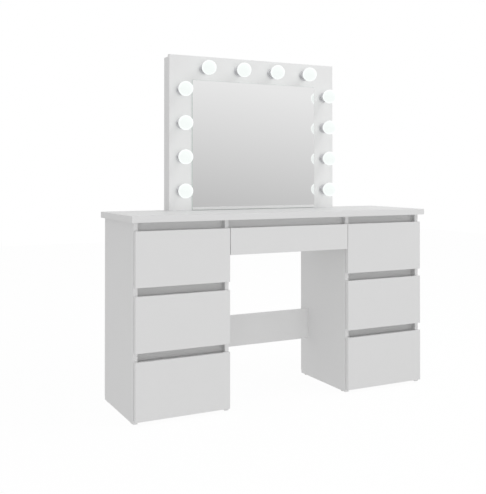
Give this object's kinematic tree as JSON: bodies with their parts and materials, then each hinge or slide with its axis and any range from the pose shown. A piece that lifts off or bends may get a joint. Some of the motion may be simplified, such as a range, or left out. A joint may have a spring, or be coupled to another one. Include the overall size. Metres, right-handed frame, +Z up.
{
  "type": "vanity table with mirror",
  "caption": "Dressing table with two drawer pedestals, a centre drawer over a kneehole, and a standing box mirror ringed with globe lamps.",
  "frame": {"origin": "on the floor under the middle of the desktop", "axes": "+X to the right seen from the front, -Y out of the drawer fronts, +Z up"},
  "size_m": [1.324, 0.382, 1.39],
  "materials": {
    "white_melamine": "white melamine-faced chipboard, satin",
    "white_hardboard": "white-faced hardboard, matt",
    "mirror_glass": "silvered float glass, polished",
    "opal_lamp": "opal globe, lit",
    "satin_chrome": "satin chrome",
    "zinc_steel": "zinc-plated steel, satin",
    "zinc_alloy": "die-cast zinc alloy",
    "glide_plastic": "moulded nylon, matt",
    "driver_plastic": "moulded white plastic, matt",
    "wire_sheath": "white PVC sheath",
    "inlet_plastic": "moulded black plastic"
  },
  "bodies": {
    "desk": {"desktop": "white_melamine", "stretcher": "white_melamine", "recess_rail_centre": "white_melamine", "mirror_face_board": "white_melamine", "mirror_box": "white_melamine", "mirror_glass": "mirror_glass", "mirror_back": "white_hardboard", "bulbs": "opal_lamp", "lamp_holders": "satin_chrome", "lamp_driver": "driver_plastic", "lamp_wiring": "wire_sheath", "power_inlet": "inlet_plastic", "mirror_screws": "zinc_steel", "floor_glides": "glide_plastic", "cam_locks": "zinc_alloy", "cam_bolts": "zinc_steel", "side_panel_left_outer": "white_melamine", "side_panel_left_inner": "white_melamine", "bottom_panel_left": "white_melamine", "recess_rails_left": "white_melamine", "back_panel_left": "white_hardboard", "side_panel_right_outer": "white_melamine", "side_panel_right_inner": "white_melamine", "bottom_panel_right": "white_melamine", "recess_rails_right": "white_melamine", "back_panel_right": "white_hardboard", "cabinet_runners_left": "zinc_steel", "cabinet_runners_right": "zinc_steel", "cabinet_runners_centre": "zinc_steel"},
    "drawer_left_bottom": {"drawer_left_bottom_front": "white_melamine", "drawer_left_bottom_box": "white_melamine", "drawer_left_bottom_bottom": "white_hardboard", "drawer_left_bottom_runners": "zinc_steel"},
    "drawer_left_middle": {"drawer_left_middle_front": "white_melamine", "drawer_left_middle_box": "white_melamine", "drawer_left_middle_bottom": "white_hardboard", "drawer_left_middle_runners": "zinc_steel"},
    "drawer_left_top": {"drawer_left_top_front": "white_melamine", "drawer_left_top_box": "white_melamine", "drawer_left_top_bottom": "white_hardboard", "drawer_left_top_runners": "zinc_steel"},
    "drawer_right_bottom": {"drawer_right_bottom_front": "white_melamine", "drawer_right_bottom_box": "white_melamine", "drawer_right_bottom_bottom": "white_hardboard", "drawer_right_bottom_runners": "zinc_steel"},
    "drawer_right_middle": {"drawer_right_middle_front": "white_melamine", "drawer_right_middle_box": "white_melamine", "drawer_right_middle_bottom": "white_hardboard", "drawer_right_middle_runners": "zinc_steel"},
    "drawer_right_top": {"drawer_right_top_front": "white_melamine", "drawer_right_top_box": "white_melamine", "drawer_right_top_bottom": "white_hardboard", "drawer_right_top_runners": "zinc_steel"},
    "drawer_centre": {"drawer_centre_front": "white_melamine", "drawer_centre_box": "white_melamine", "drawer_centre_bottom": "white_hardboard", "drawer_centre_runners": "zinc_steel"}
  },
  "joints": [
    {"name": "slide_left_bottom", "type": "slide", "parent": "desk", "child": "drawer_left_bottom", "axis": [0, -1, 0], "range_m": [0, 0.22]},
    {"name": "slide_left_middle", "type": "slide", "parent": "desk", "child": "drawer_left_middle", "axis": [0, -1, 0], "range_m": [0, 0.22]},
    {"name": "slide_left_top", "type": "slide", "parent": "desk", "child": "drawer_left_top", "axis": [0, -1, 0], "range_m": [0, 0.22]},
    {"name": "slide_right_bottom", "type": "slide", "parent": "desk", "child": "drawer_right_bottom", "axis": [0, -1, 0], "range_m": [0, 0.22]},
    {"name": "slide_right_middle", "type": "slide", "parent": "desk", "child": "drawer_right_middle", "axis": [0, -1, 0], "range_m": [0, 0.22]},
    {"name": "slide_right_top", "type": "slide", "parent": "desk", "child": "drawer_right_top", "axis": [0, -1, 0], "range_m": [0, 0.22]},
    {"name": "slide_centre", "type": "slide", "parent": "desk", "child": "drawer_centre", "axis": [0, -1, 0], "range_m": [0, 0.22]}
  ]
}
